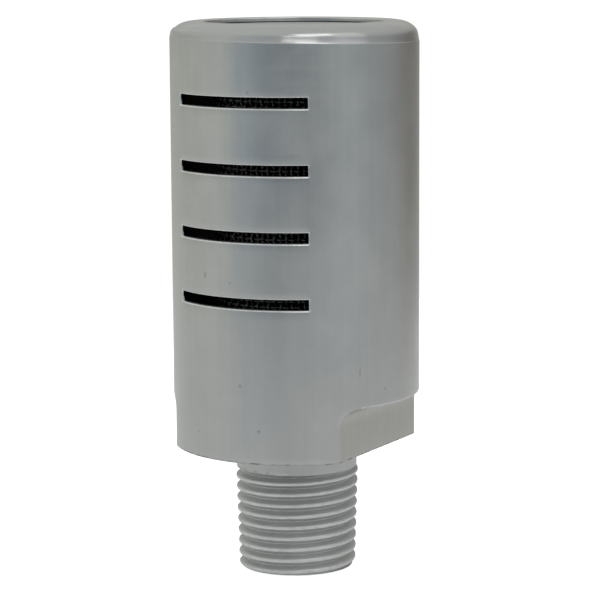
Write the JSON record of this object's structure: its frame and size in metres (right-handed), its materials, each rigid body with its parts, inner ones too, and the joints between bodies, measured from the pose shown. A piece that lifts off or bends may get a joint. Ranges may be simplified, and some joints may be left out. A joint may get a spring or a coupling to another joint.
{
  "type": "pneumatic muffler",
  "caption": "Turned aluminium exhaust muffler with a male taper pipe thread, wrench flats, sawn exhaust slots and a wire cloth element inside.",
  "frame": {"origin": "centre of the inlet's end face, at the free end of the thread", "axes": "+Z from the inlet to the closed end, +X and -X out of the two wrench flats, -Y and +Y out of the two columns of exhaust slots"},
  "size_m": [0.0206, 0.0206, 0.046],
  "materials": {
    "housing_aluminium": "turned and tumbled, satin",
    "cap_aluminium": "faced, satin",
    "pressed_steel": "plain pressed sheet",
    "wire_cloth": "plain woven wire, dull",
    "felt": "dense needled felt"
  },
  "bodies": {
    "root": {"housing_body": "housing_aluminium", "inlet_stub": "housing_aluminium", "end_cap": "cap_aluminium", "lower_end_ring": "pressed_steel", "upper_end_ring": "pressed_steel", "cloth_warp_wires": "wire_cloth", "cloth_weft_wires": "wire_cloth", "felt_packing": "felt", "core_tube": "pressed_steel"}
  },
  "joints": []
}
